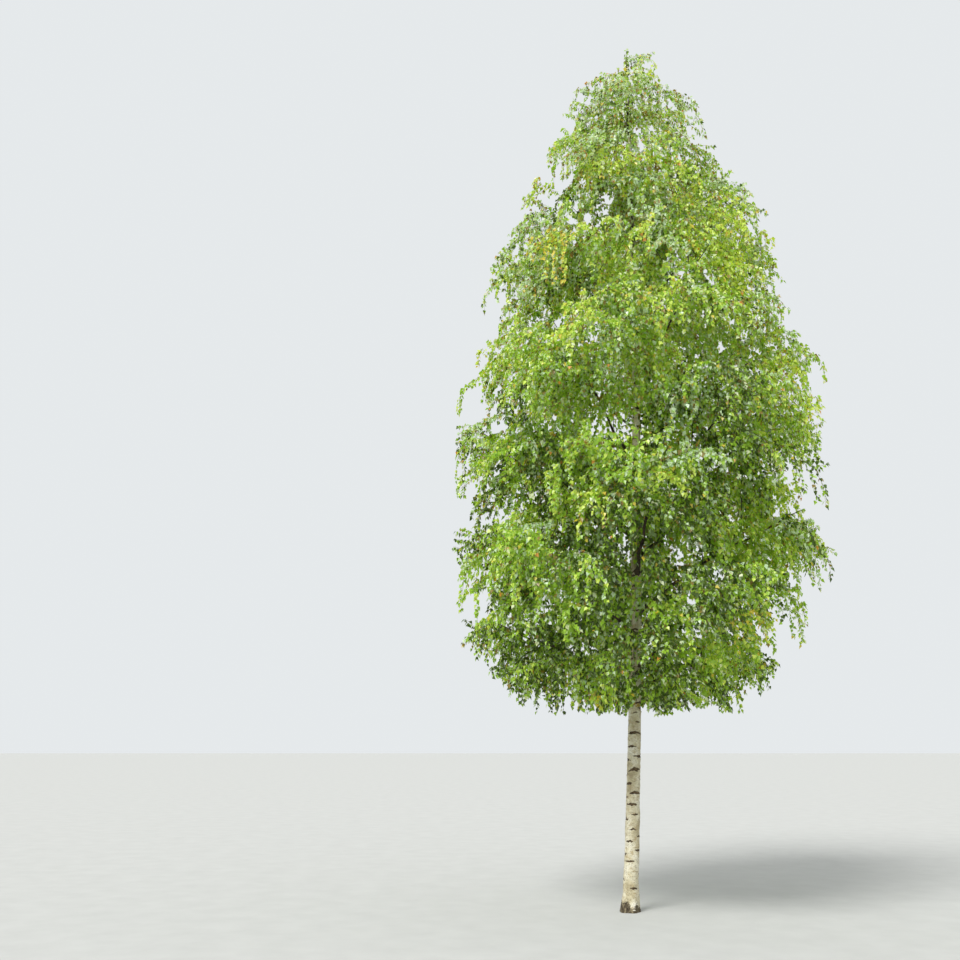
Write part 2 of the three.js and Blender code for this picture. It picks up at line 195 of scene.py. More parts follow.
# Leaves
LEAF_LENGTH = 0.0455
LEAF_WIDTH = 0.039
LEAF_SPREAD = (0.72, 1.15)
LEAF_WIDTHS = (0.85, 1.12)
LEAF_OUTLINE = ((0.06, 0.58), (0.29, 1.0), (0.68, 0.4))  # places along a leaf and how wide it is there
LEAF_HANG = (0.45, 0.8, 0.2, 0.27)  # along its stalk, down, out of the crown, and by chance
LEAF_FACE = (0.55, 0.55, 0.5)  # out of the crown, up, and by chance
LEAF_FOLDS = (0.05, 0.45)
LEAF_CURLS = (-0.05, 0.22)
OUTER_DEPTH = 0.4  # leaves this near the crown's outside have their full outline
LOWEST_INNER = 2.6
PLAIN_POINTS = [0, 4, 6, 8]  # the points that an inner leaf keeps
LEAF_OVERREACH = 0.05
LEAF_GLOSS = 0.85
LEAF_TRANSLUCENCE = 0.38
LEAF_THROUGH = (1.25, 1.2, 0.35)  # how light that comes through is tinted
PETIOLE = 0.0155
PETIOLE_SPREAD = (0.7, 1.2)
PETIOLE_HANG = 0.5
STALK_WIDTH = 0.0016
STALK_AHEAD = 0.5
STALK_UP = 0.15
YELLOW_SPRAYS = 0.012
ODD_SHARES = (0.014, 0.004, 0.075, 0.05)  # of single yellow, orange, pale and olive leaves; the pale ones are painted glints
PIECE_LEAVES = 34000  # at most in one piece
# Tints dealt by height as painted light and shade: sprays higher in the crown come out lighter, lower
# ones darker
TINT_MIDDLE = 4.8  # the height where the usual shares of the tints hold
TINT_RANGE = 3.5  # and how far above it the HIGH values count in full
HIGH_LIT = 1.0
LIT_LIMIT = 0.5
LIT_SPREAD = 0.5
LIT_PATCHES = (0.35, 21)  # scale and seed
LIT_BORDERS = (0.6, -0.5)  # over them a spray is yellow green or mid green, else dark green: painted light high in the crown, painted shade low in it
# Painted sky reflection: sprays higher in the crown are more often pale blue green
HIGH_SKY_SHEEN = 1.1
SKY_SHEEN_SPREAD = 0.6
SKY_SHEEN_PATCHES = (0.4, 22)
SKY_SHEEN_BORDERS = (0.6, 0.85)  # over them it is pale blue green, a painted sky reflection, the second if it was yellow green
PATCH_SHARE = 0.3
# Single odd leaves grow more common higher up, the pale painted glints among them
HIGH_ODD = 0.8
# Besides their own colour, dark green, yellow green, pale blue green and pale green leaves stand for
# painted shade, painted light, painted sky reflection and painted glints
LEAF_TINTS = {
    "dark_green": "50691d",
    "mid_green": "9dc43c",
    "yellow_green": "d2e666",
    "sky_sheen_pale_blue_green": "c6dcbb",
    "yellow": "e6d25a",
    "orange": "d89a44",
    "glint_pale_green": "e2eac8",
    "olive": "98843f",
}
# For a spray of each of the first five tints, the tints that some of its leaves have, and their shares
NEAR_TINTS = np.array([1, 2, 1, 1, 2])
FAR_TINTS = np.array([3, 3, 4, 0, 1])
NEAR_SHARES = np.array([0.3, 0.25, 0.3, 0.35, 0.45])
FAR_SHARES = np.array([0.12, 0.12, 0.03, 0.12, 0.2])
CATKINS = 2400
CATKIN_STEPS = (0, 0.015, 0.037)  # distances along one from the twiglet
CATKIN_RADII = (0.001, 0.0048, 0.0012)
CATKIN_SIDES = 3
CATKIN_PLACES = (0.4, 1)
CATKIN_SIZES = (0.7, 1.15)
CATKIN_SWING = 0.25
MASSES = [f"foliage_{k + 1:02d}" for k in range(BOUGH_COUNT)] + ["foliage_top"]

# Bark
TRUNK_AROUND = 72
TRUNK_RINGS = ((2.4, 0.005), (4.5, 0.008), (6.5, 0.012), (TRUNK_TOP, 0.03))  # steps up to each height
TRUNK_NOISES = {  # how far each is pressed together upwards, its scale and its seed
    "rough": (1.6, 26, 31),
    "lumps": (0.7, 5, 32),
    "small lumps": (1, 19, 33),
    "flakes": (2.2, 14, 34),
    "ridges": (0.16, 27, 35),
    "small ridges": (0.5, 60, 36),
    "foot": (0, 15, 37),
}
SCAR_STEPS = (0.028, 0.06)
SCAR_SIZES = (0.1, 1)
SCAR_POWER = 1.2
SCAR_FLATNESS = (0.6, 1)
SCAR_REACH = 4
SCAR_STRAY = 0.6  # how far one turns off the spiral
SCAR_ROUGHNESS = 0.35
SCAR_SLOPE = 2.2
SCAR_ARCH = 1.6
SCAR_HEIGHT = 0.014
SCAR_HALVES = (0.34, 1.3)  # half width, as an angle round the trunk
SCAR_TALLS = (0.45, 1.5)
SCAR_DROOPS = (-0.5, 1.4)
LOWEST_SCAR = 0.16
HIGHEST_SCAR_GAP = 0.6
SCAR_RIM = 0.0034
SCAR_DEPTH = 0.0025
RIM_SLOPE = 3
LUMPS = 0.0024
SMALL_LUMPS = 0.4  # beside the large ones
FLAKES = 0.0005
FLAKE_LEVELS = 1.3
CRACKS = 0.005
CRACK_SLOPE = 2.2
CRACKED_HEIGHT = 0.062
CRACKED_STRAY = 0.5
CRACKED_STRENGTH = 1.1
CRACKED_ROUGHNESS = 0.4
SMALL_RIDGES = 0.5
FOOT_RELIEF = 0.3  # of the relief is left at the cut
# From this height upwards the bark darkens with olive streaks: algae stain and painted shade under the
# crown
STAIN_AND_SHADE_FOOT = 1.3
STAIN_AND_SHADE_RANGE = 1.8
COLLAR = 0.009
COLLAR_SWELL = 0.9
COLLAR_LENGTH = 0.035
COLLAR_REACH = 1.5  # in the bough's radii, as all down to RING_WIDTH
COLLAR_DROP = 0.3
ROOT_REACH = 8
BROW_RISE = 1.6
BROW_SLOPE = 0.75
BROW_HEIGHT = 0.45
BROW_REACH = 3.4
RING_RADIUS = 1.1
RING_WIDTH = 0.4
BOUGH_AROUND = 10
BOUGH_RINGS = 44
BOUGH_WINDING = 0.02
BOUGH_BUMPS = ((0.05, 14, 41), (0.04, 45, 71))  # height, scale and first seed
STEM_AROUND = 8
TWIG_AROUND = 6
TWIGLET_AROUND = 3
BARK_MARKS = (  # noise, where marks start and are full, strength, colour
    ((19, 1.6, 5, 0.65), 0.52, 0.66, 0.75, "ad986f"),
    ((46, 1.5, 4, 0.7), 0.55, 0.64, 0.6, "857a5c"),
    ((26, 9, 3, 0.5), 0.6, 0.68, 0.6, "75634d"),
    ((110, 1.2, 3, 0.6), 0.55, 0.64, 0.65, "80735a"),
)
# Strength of the olive streaks of algae stain and painted shade
STAIN_AND_SHADE = 0.75
RAGGEDNESS = 1.3
MARK_EDGE = (0.2, 0.38)  # of a scar or brow, as a share of its depth
SCAR_HOLLOW = (0.5, 0.85)
FOOT_EDGE = (0.35, 0.6)
WHITE_BUMPS = (0.004, 0.8)  # depth and strength

# Studio, with the camera where the photograph's perspective puts it
CAMERA_PLACE = (-1.49, -10.7, 1.6)
CAMERA_PITCH = 14.85
CAMERA_LENS = 37.5
SENSOR_WIDTH = 36
FARTHEST_SEEN = 500
FLOOR_SIDE = 400
FLOOR_COLOURS = ((0.3, "b9b9b5"), (0.7, "bfbfbb"))
SKY_COLOUR = "eef2f4"
SKY_STRENGTH = 0.92
KEY_STRENGTH = 2.9
KEY_SPREAD = 24
KEY_TILT = 42
KEY_TURN = -35

# Curves and noise
HEADING_STEP = 1e-4
LENGTH_POINTS = 201
UPRIGHT = 0.9
WINDING_TURNS = (1.6, 1.1)
WAVES = 9
WAVE_SPREAD = (0.6, 1.7)
UP = np.array([0.0, 0.0, 1.0])
SIDEWAYS = np.array([1.0, 0.0, 0.0])


# Vectors and curves

def unit(v):
    return v / np.maximum(norm(v, axis=-1, keepdims=True), 1e-12)


def point_on(curve, t):
    """A point, or several, on an arching curve given by its start, bend and end."""
    t = np.asarray(t, float)[..., None]
    return (1 - t) ** 2 * curve[0] + 2 * (1 - t) * t * curve[1] + t * t * curve[2]


def heading_on(curve, t):
    low, high = max(t - HEADING_STEP, 0.0), min(t + HEADING_STEP, 1.0)
    return unit(point_on(curve, high) - point_on(curve, low))


def length_of(curve):
    points = point_on(curve, np.linspace(0, 1, LENGTH_POINTS))
    return float(norm(np.diff(points, axis=0), axis=1).sum())


def curve_before(curve, t):
    return np.array([curve[0], curve[0] + (curve[1] - curve[0]) * t, point_on(curve, t)])


def curve_after(curve, t):
    return np.array([point_on(curve, t), curve[1] + (curve[2] - curve[1]) * t, curve[2]])


# The rule of growth, as in the solids

def seeded(seed):
    """Numbers from 0 to 1 that are the same on every run."""
    state = seed

    def draw():
        nonlocal state
        state = (state * 1664525 + 1013904223) & 0xFFFFFFFF
        return state / 4294967296

    return draw


def between(ends, share):
    return ends[0] + (ends[1] - ends[0]) * share


def axis_at(z):
    """Middle of the trunk at a height, or at several."""
    z = np.asarray(z, float)
    lean = LEAN * (1 - np.exp(-z / LEAN_HEIGHT))
    return np.stack([lean, SWAY * np.sin(2 * np.pi * z / SWAY_LENGTH), z], axis=-1)


def trunk_radius(z):
    return TRUNK_RADIUS * np.maximum(0, 1 - np.asarray(z) / TRUNK_VANISH) ** TRUNK_TAPER + LEADER_RADIUS


def crown_radius(z):
    """How far the crown reaches from the trunk's middle at a height."""
    s = (np.asarray(z, float) - CROWN_FOOT) / (TREE_HEIGHT - CROWN_FOOT)
    inside = (s >= 0) & (s <= 1)
    s = np.clip(s, 0, 1)
    narrowing = (1 - s ** CROWN_SHOULDER) ** CROWN_POINT
    return np.where(inside, CROWN_RADIUS * narrowing * (1 - CROWN_TUCK * np.exp(-s / TUCK_HEIGHT)), 0)


def off_axis(points, z):
    """How far points lie from the trunk's middle at these heights."""
    return norm((points - axis_at(z))[:, :2], axis=1)


def mass_heights():
    steps = round((HIGHEST_MASS - LOWEST_MASS) / MASS_STEP)
    sums = np.cumsum(crown_radius(LOWEST_MASS + MASS_STEP * np.arange(steps + 1)))
    wanted = [sums[-1] * i / (BOUGH_COUNT - 1) for i in range(BOUGH_COUNT)]
    return [LOWEST_MASS + MASS_STEP * int(np.argmax(sums >= min(w, sums[-1]))) for w in wanted]


def crown_plan():
    """For each mass its middle and reach, and where its limb starts and how it sets off."""
    draw = seeded(SEED)
    masses = []
    for i, height in enumerate(mass_heights()):
        angle = FIRST_TURN + TURN * i + TURN_SPREAD * (draw() - 0.5)
        reach = LEAST_REACH + (1 - LEAST_REACH) * draw()
        out = np.array([math.cos(angle), math.sin(angle), 0.0])
        run = MASS_MIDDLE * reach * float(crown_radius(height))
        up = (height - LOWEST_MASS) / (HIGHEST_MASS - LOWEST_MASS)
        rise = math.radians(between(RISES, up))
        root = max(LOWEST_ROOT + ROOT_STEP * i, height - run * math.tan(rise))
        start = out * math.cos(rise) + UP * math.sin(rise)
        middle = axis_at(height) + out * run
        masses.append(Named(out=out, reach=reach, start=start, middle=middle, root=axis_at(root)))
    top, root = axis_at(TOP_MASS), axis_at(TRUNK_TOP)
    return masses + [Named(out=None, reach=1, start=UP, middle=top, root=root)]


def space_planes(masses):
    """The planes halfway from each mass's middle to the others, as normals and limits."""
    planes = []
    for mass in masses:
        others = np.array([other.middle for other in masses if other is not mass])
        normals = unit(others - mass.middle)
        limits = ((others + mass.middle) / 2 * normals).sum(axis=1) - SPACE_GAP / 2
        planes.append((normals, limits))
    return planes


plan = crown_plan()
planes = space_planes(plan)


def in_space(points, i, margin):
    """True for points in a mass's own space, a margin inside its edges."""
    points = np.atleast_2d(points)
    z = points[:, 2]
    normals, limits = planes[i]
    reached = off_axis(points, z) <= crown_radius(z) * plan[i].reach - margin
    inside = (z >= CROWN_FOOT) & (z <= TREE_HEIGHT) & reached
    return inside & (points @ normals.T < limits - margin).all(axis=1)


def stem_end(i):
    out, middle = plan[i].out, plan[i].middle
    if out is None:
        return axis_at(TREE_HEIGHT - TOP_STEM_GAP)
    step = unit(out + UP * STEM_LIFT) * STEM_STEP
    end = middle.copy()
    while in_space(end, i, STEM_END_GAP)[0]:
        end = end + step
    return end - step


def limb_of(i):
    """Bough and stem share one arching curve, and part where it enters the mass's space."""
    out, start, root = plan[i].out, plan[i].start, plan[i].root
    end = stem_end(i)
    bend = root + start * LIMB_BEND * norm(end - root)
    whole = np.array([root, bend, end])
    if out is None:
        radius, split = float(trunk_radius(TRUNK_TOP)), 0.0
    else:
        radius, split = max(LEAST_BOUGH, BOUGH_SHARE * trunk_radius(root[2])), 1.0
        while split > LEAST_SPLIT and in_space(point_on(whole, split - SPLIT_STEP), i, LIMB_MARGIN)[0]:
            split -= SPLIT_STEP
    return Named(
        bough=None if out is None else curve_before(whole, split),
        stem=curve_after(whole, split + CLEAR / length_of(whole)),
        radius=radius,
        split_radius=radius * (1 - (1 - LIMB_TAPER) * split),
        end_radius=radius * LIMB_TAPER,
    )


limbs = [limb_of(i) for i in range(len(plan))]


def runs_of(curve, segments, reach):
    """Straight runs along a curve, each with the distance that leaves keep from it."""
    points = point_on(curve, np.linspace(0, 1, segments + 1))
    return [(a, b, reach) for a, b in zip(points, points[1:])]


def limb_runs():
    runs = []
    for z in np.arange(0, TRUNK_TOP - 1e-9, TRUNK_RUN):
        runs.append((axis_at(z), axis_at(z + TRUNK_RUN), trunk_radius(z) + LIMB_MARGIN))
    for limb in limbs:
        if limb.bough is not None:
            runs += runs_of(limb.bough, BOUGH_SEGMENTS, limb.radius + LIMB_MARGIN)
    return runs


trunk_and_boughs = limb_runs()


def packed(runs):
    starts, ends, reaches = (np.array(column) for column in zip(*runs))
    return starts, ends - starts, reaches


def clear_of(runs, points):
    starts, along, reaches = runs
    offset = np.atleast_2d(points)[:, None] - starts
    t = np.clip((offset * along).sum(axis=2) / (along ** 2).sum(axis=1), 0, 1)
    return bool((norm(offset - t[..., None] * along, axis=2) > reaches).all())


packed_limbs = packed(trunk_and_boughs)


def twig_tip(i, draw, taken):
    best, best_gap, found, tried = None, 0.0, 0, 0
    while found < PLACES_TRIED and tried < MOST_DRAWS:
        tried += 1
        offset = np.array([draw() - 0.5 for _ in range(3)])
        place = plan[i].middle + offset * 2 * TIP_BOX
        if not in_space(place, i, TIP_MARGIN)[0] or not clear_of(packed_limbs, place):
            continue
        found += 1
        gap = min(float(norm(other - place)) for other in taken)
        if gap > best_gap:
            best, best_gap = place, gap
    return best


def twig_start(stem, tip):
    places = np.arange(1, STEM_PLACES) / STEM_PLACES
    gaps = norm(point_on(stem, places) - tip, axis=1)
    nearest = int(np.argmin(gaps))
    return max(LEAST_TWIG_START, float(places[nearest] - TWIG_FORWARD * gaps[nearest] / length_of(stem)))


def arching(start, end):
    bend = (start + end) / 2 + UP * TWIG_ARCH * norm(end - start)
    return np.array([start, bend, end])


def spray_points(spray):
    """Points spread over a spray, from which its gaps are measured."""
    points = []
    under = spray.root - spray.above * SPRAY_ROOT / 2
    for t in SPRAY_PROBES:
        wide = t / SPRAY_WIDEST if t < SPRAY_WIDEST else (1 - t) / (1 - SPRAY_WIDEST)
        middle = under + (spray.tip - under) * t
        half = (spray.left - spray.right) * wide / 2
        points += [middle, middle + half, middle - half]
    return np.array(points)


def spray_place(root, heading, facing, size):
    length, half = SPRAY_LENGTH * size, SPRAY_WIDTH * size / 2
    across = unit(np.cross(facing, heading))
    above = np.cross(heading, across)
    widest = root + heading * SPRAY_WIDEST * length
    spray = Named(
        root=root, heading=heading, across=across, above=above, length=length,
        left=widest + across * half,
        right=widest - across * half,
        ridge=widest + above * SPRAY_RIDGE,
        tip=root + heading * length,
    )
    spray.points = spray_points(spray)
    return spray


def corners_of(spray):
    return np.array([spray.left, spray.right, spray.ridge, spray.tip])


def outward_from(point, draw):
    out = point - axis_at(point[2])
    turn = 2 * math.pi * draw()
    if norm(out) < TRUNK_RADIUS:
        out = np.array([math.cos(turn), math.sin(turn), 0.0])
    return unit(out)


def spray_on(bearer, place, side, draw, fits):
    root, along = point_on(bearer.curve, place), heading_on(bearer.curve, place)
    out = outward_from(root, draw)
    across = unit(np.cross(out if abs(along[2]) > STEEP else along, UP))
    for size in SPRAY_SIZES:
        for _ in range(SPRAY_TRIES):
            heading = along * (SPRAY_AHEAD if side else 1)
            heading = heading + across * (side + SPRAY_TURN * (draw() - 0.5)) + out * SPRAY_OUT
            heading = unit(heading - UP * between(SPRAY_DROOP, draw()))
            facing = out + UP * between(FACE_UP, draw())
            facing = unit(facing + across * FACE_TURN * (draw() - 0.5))
            spray = spray_place(root, heading, facing, size)
            spray.bearer, spray.place = bearer, place
            if fits(spray):
                return spray
    return None


def grow_twigs(i, draw):
    stem = limbs[i].stem
    taken = [stem[0], stem[2]]
    twigs = []
    for _ in range(TWIGS):
        tip = twig_tip(i, draw, taken)
        if tip is None:
            continue
        start = twig_start(stem, tip)
        curve = arching(point_on(stem, start), tip)
        points = point_on(curve, TWIG_PROBES)
        if not in_space(points, i, TWIG_RADIUS).all() or not clear_of(packed_limbs, points):
            continue
        taken.append(tip)
        twigs.append(Named(curve=curve, start=start))
    return twigs


def grow_mass(i):
    """The stem and the bearing twigs of one mass, and its sprays, each with what bears it."""
    draw = seeded(SEED + MASS_SEEDS * (i + 1))
    stem = Named(curve=limbs[i].stem)
    twigs = grow_twigs(i, draw)
    runs = trunk_and_boughs + runs_of(stem.curve, STEM_SEGMENTS, TWIG_MARGIN)
    for twig in twigs:
        runs = runs + runs_of(twig.curve, TWIG_SEGMENTS, TWIG_MARGIN)
    runs = packed(runs)
    sprays = []

    def fits(spray):
        if not in_space(corners_of(spray), i, 0).all() or not clear_of(runs, spray.points):
            return False
        if not sprays:
            return True
        others = np.concatenate([other.points for other in sprays])
        gaps = norm(spray.points[:, None] - others, axis=2)
        return bool((gaps > SPRAY_GAP).all())

    for bearer in [stem] + twigs:
        bearer.last = 0
        for k, place in enumerate(LEAF_PLACES):
            side = 0 if k == len(LEAF_PLACES) - 1 else 1 - 2 * (k % 2)
            spray = spray_on(bearer, place, side, draw, fits)
            if spray is not None:
                sprays.append(spray)
                bearer.last = place
    stem.last = 1
    return [stem] + [twig for twig in twigs if twig.last], sprays


# Shapes made of many small ones

def noise_of(points, scale, seed):
    """A smooth noise, mostly from -1 to 1, of waves in seeded directions."""
    rng = np.random.default_rng(seed)
    waves = unit(rng.normal(size=(WAVES, 3))) * rng.uniform(*WAVE_SPREAD, (WAVES, 1)) * 2 * np.pi * scale
    phases = rng.uniform(0, 2 * np.pi, WAVES)
    return np.sin(points @ waves.T + phases).sum(axis=-1) / math.sqrt(WAVES)


def placed(name, data):
    """A new object in the scene."""
    item = bpy.data.objects.new(name, data)
    scene.collection.objects.link(item)
    return item


def new_piece(name, points, faces, material, smooth=True):
    """An object of points and groups of faces, each an array of corners."""
    corners = np.concatenate([group.ravel() for group in faces]).astype(np.int32)
    sizes = np.concatenate([np.full(len(group), group.shape[1]) for group in faces])
    mesh = bpy.data.meshes.new(name)
    mesh.vertices.add(len(points))
    mesh.vertices.foreach_set("co", np.asarray(points, np.float32).ravel())
    mesh.loops.add(len(corners))
    mesh.polygons.add(len(sizes))
    mesh.polygons.foreach_set("loop_start", (np.cumsum(sizes) - sizes).astype(np.int32))
    mesh.loops.foreach_set("vertex_index", corners)
    mesh.polygons.foreach_set("use_smooth", np.full(len(sizes), smooth))
    mesh.update(calc_edges=True)
    mesh.materials.append(material)
    piece = placed(name, mesh)
    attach(piece, "root")
    return piece


def tube_faces(count, places, sides):
    """Quads and end caps of tubes whose points are numbered tube by tube and ring by ring."""
    tube, place, corner = np.indices((count, places - 1, sides))
    first = (tube * places + place) * sides
    after = (corner + 1) % sides
    above = first + sides
    quads = np.stack([first + corner, first + after, above + after, above + corner], axis=-1)
    ends = np.arange(count)[:, None] * places * sides + np.arange(sides)
    return [quads.reshape(-1, 4), np.concatenate([ends[:, ::-1], ends + (places - 1) * sides])]


def tube_shapes(lines, radii, sides):
    """Closed tubes along many lines. lines is (tubes, places, 3) and radii is (tubes, places)."""
    ahead = unit(np.gradient(lines, axis=1))
    level = np.abs(ahead[:, :, 2].mean(axis=1)) < UPRIGHT
    aside = np.where(level[:, None, None], UP, SIDEWAYS)
    side = unit(np.cross(ahead, aside))
    top = np.cross(ahead, side)
    turn = 2 * np.pi * np.arange(sides) / sides
    ring = side[:, :, None] * np.cos(turn)[:, None] + top[:, :, None] * np.sin(turn)[:, None]
    points = lines[:, :, None] + ring * radii[:, :, None, None]
    return points.reshape(-1, 3), tube_faces(*radii.shape, sides)


def winding(curve, t, phases, share):
    """Points on a curve that winds a little to and fro between its ends."""
    ahead = unit(curve[2] - curve[0])
    side = unit(np.cross(ahead, UP if abs(ahead[2]) < UPRIGHT else SIDEWAYS))
    size = share * norm(curve[2] - curve[0]) * np.sin(np.pi * t)
    points = point_on(curve, t)
    for turns, phase, aside in zip(WINDING_TURNS, phases, (side, np.cross(ahead, side))):
        points = points + (size * np.sin(2 * np.pi * (turns * t + phase)))[..., None] * aside
    return points


# The crown's own growth, finer than the solids

def bent(bearer, place):
    """How far the winding of a stem or twig moves one of its places."""
    return winding(bearer.curve, place, bearer.phases, bearer.wind) - point_on(bearer.curve, place)


def on_curves(curves, t):
    """Points on many arching curves, one place on each."""
    return point_on(curves.swapaxes(0, 1), t)


def headings_on(curves, t):
    t = t[:, None]
    return unit((1 - t) * (curves[:, 1] - curves[:, 0]) + t * (curves[:, 2] - curves[:, 1]))


def inside_crown(points, more):
    """True for points inside the crown, let out by a little more."""
    z = np.clip(points[:, 2], CROWN_FOOT + EDGE_HEIGHT, TREE_HEIGHT)
    low, high = np.array(CAD_BOX[0]) - BOX_OVERREACH, np.array(CAD_BOX[1]) + BOX_OVERREACH
    boxed = ((points > low) & (points < high)).all(axis=1)
    return boxed & (off_axis(points, z) <= crown_radius(z) + more) & (points[:, 2] >= CROWN_FOOT - more)


def twiglets_of(spray, root, rng):
    """The twiglets of one spray: the main one, side ones that fill its outline, and ones that hang."""
    heading, across, above, length = spray.heading, spray.across, spray.above, spray.length
    main = np.array([
        root,
        root + heading * length / 2 + above * MAIN_ARCH * length,
        root + heading * MAIN_SHARE * length - UP * MAIN_SAG * length,
    ])
    count = max(2, round(length / TWIGLET_STEP))
    places = (np.arange(count) + TWIGLET_OFFSET) / count
    wide = np.minimum(places / SPRAY_WIDEST, (1 - places) / (1 - SPRAY_WIDEST))
    wide = LEAST_WIDE + (1 - LEAST_WIDE) * wide
    reach = SPRAY_WIDTH / SPRAY_LENGTH * length / 2 / math.sin(TWIGLET_ANGLE) * wide
    reach = (reach * rng.uniform(*TWIGLET_REACHES, count))[:, None]
    roll = rng.normal(0, TWIGLET_ROLL, (count, 1))
    side = np.where(np.arange(count) % 2, 1.0, -1.0)[:, None]
    aside = side * np.cos(roll) * across + np.sin(roll) * above
    ahead = heading * math.cos(TWIGLET_ANGLE) + aside * math.sin(TWIGLET_ANGLE)
    start = point_on(main, places)
    end = start + ahead * reach - TWIGLET_SAG * reach * UP
    sides = np.stack([start, start + ahead * reach * TWIGLET_BEND, end], axis=1)
    hangs = rng.random(count) < HANGING_SHARE
    fall = rng.uniform(*HANGING_LENGTHS, (count, 1))
    bend = end + ahead * (HANGING_BEND[0] * fall) - HANGING_BEND[1] * fall * UP
    low = end + ahead * (HANGING_AHEAD * fall) - fall * UP
    hanging = np.stack([end, bend, low], axis=1)
    return np.concatenate([main[None], sides, hanging[hangs]])


def fill_in(i, bearers, sprays, draw):
    """Further sprays for one mass, each in the emptiest of a few places tried."""
    def fits(spray):
        corners = corners_of(spray)
        return in_space(corners, i, -MORE_OVERREACH).all() and inside_crown(corners, 0).all()

    taken = np.concatenate([spray.points for spray in sprays])
    more = []
    for _ in range(MORE_SPRAYS):
        best, best_gap = None, 0.0
        for _ in range(MORE_TRIED):
            bearer = bearers[int(draw() * len(bearers))]
            place = bearer.last * between(MORE_PLACES, draw())
            spray = spray_on(bearer, place, 1 if draw() < 0.5 else -1, draw, fits)
            if spray is None:
                continue
            gap = norm(spray.points[:, None] - taken, axis=2).min(axis=1).mean()
            if gap > best_gap:
                best, best_gap = spray, gap
        if best is not None:
            taken = np.concatenate([taken, best.points])
            more.append(best)
    return more


def wound(bearer, curve, radii, rings):
    """The winding line along a stem's or twig's curve, with its radius at each place."""
    line = winding(curve, np.linspace(0, 1, rings), bearer.phases, bearer.wind)
    return line, np.linspace(*radii, rings)


def grow_crown(rng):
    """Lines and radii of stems and twigs, and all twiglets with their spray's number."""
    stems, twigs, bare, twiglets = [], [], [], []
    for i, limb in enumerate(limbs):
        phases = rng.random(2)
        bearers, sprays = grow_mass(i)
        sprays = sprays + fill_in(i, bearers, sprays, rng.random)
        stem, radii = bearers[0], (limb.split_radius, limb.end_radius)
        stem.phases, stem.wind, stem.shift, stem.end = phases, STEM_WINDING, 0, 1
        stems.append(wound(stem, stem.curve, (radii[0], radii[1] * STEM_FINENESS), STEM_RINGS))
        bare.append(stem.curve)
        for twig in bearers[1:]:
            twig.phases, twig.wind, twig.shift = rng.random(2), TWIG_WINDING, bent(stem, twig.start)
            twig.end = min(1, twig.last + TWIG_OVERRUN)
            curve = curve_before(twig.curve, twig.end) + twig.shift
            thick = min(TWIG_RADIUS, TWIG_SHARE * between(radii, twig.start))
            twigs.append(wound(twig, curve, (thick, thick * TWIG_FINENESS), TWIG_RINGS))
            bare.append(curve)
        for spray in sprays:
            bearer = spray.bearer
            shift = bearer.shift + bent(bearer, min(spray.place / bearer.end, 1))
            twiglets.append(twiglets_of(spray, spray.root + shift, rng))
    count = len(twiglets)
    owners = np.repeat(np.arange(count), [len(grown) for grown in twiglets])
    twiglets = np.concatenate(twiglets)
    kept = inside_crown(twiglets[:, 1], 2 * TWIGLET_OVERREACH)
    kept = kept & inside_crown(twiglets[:, 2], TWIGLET_OVERREACH)
    return stems, twigs, np.array(bare), twiglets[kept], owners[kept], count


# Leaves

def shoots_on(curves, step, rng):
    """Places spread evenly along many curves, as the number of the curve and how far along it."""
    lengths = norm(np.diff(curves, axis=1), axis=2).sum(axis=1)
    counts = np.maximum(1, np.round(lengths / step).astype(int))
    which = np.repeat(np.arange(len(curves)), counts)
    order = np.arange(len(which)) - np.repeat(np.cumsum(counts) - counts, counts)
    order = order + 0.5 + rng.uniform(-NODE_STRAY, NODE_STRAY, len(which))
    return which, np.clip(order / counts[which] + NODE_SHIFT, 0, 1)


def leaves_on(curves, step, rng):
    """Where leaves start and which way their stalks point, with the number of the curve of each."""
    which, places = shoots_on(curves, step, rng)
    pair = rng.random(len(which)) < PAIR_SHARE
    which, places = (np.concatenate([each, each[pair]]) for each in (which, places))
    starts = on_curves(curves[which], places)
    ahead = headings_on(curves[which], places)
    around = unit(np.cross(ahead, rng.normal(size=(len(which), 3))))
    stalks = unit(around + STALK_AHEAD * ahead + STALK_UP * UP)
    return starts, stalks, which


def blades_of(starts, stalks, rng):
    """Ten points for each leaf: two on the twiglet, its base, three down one side, its tip, three up."""
    count = len(starts)
    size = rng.uniform(*LEAF_SPREAD, (count, 1))
    out = unit((starts - axis_at(starts[:, 2])) * [1, 1, 0])
    along, fall, outward, stray = LEAF_HANG
    down = unit(along * stalks - fall * UP + outward * out + rng.normal(0, stray, (count, 3)))
    outward, upward, stray = LEAF_FACE
    facing = out * outward + UP * upward + rng.normal(0, stray, (count, 3))
    facing = unit(facing - (facing * down).sum(axis=1, keepdims=True) * down)
    aside = np.cross(down, facing)
    stalk = PETIOLE * size * rng.uniform(*PETIOLE_SPREAD, (count, 1))
    base = starts + unit(stalks + PETIOLE_HANG * down) * stalk
    length, width = LEAF_LENGTH * size, LEAF_WIDTH * size * rng.uniform(*LEAF_WIDTHS, (count, 1)) / 2
    fold = rng.uniform(*LEAF_FOLDS, (count, 1))
    curl = rng.uniform(*LEAF_CURLS, (count, 1))
    left, right = [], []
    for place, wide in LEAF_OUTLINE:
        rise = fold * wide * width - curl * place ** 2 * length
        middle = base + down * place * length + facing * rise
        half = aside * wide * width
        left.append(middle + half)
        right.append(middle - half)
    tip = base + down * length - facing * curl * length
    thin = aside * STALK_WIDTH / 2
    return np.stack([starts + thin, starts - thin, base, *left, tip, *right[::-1]], axis=1)


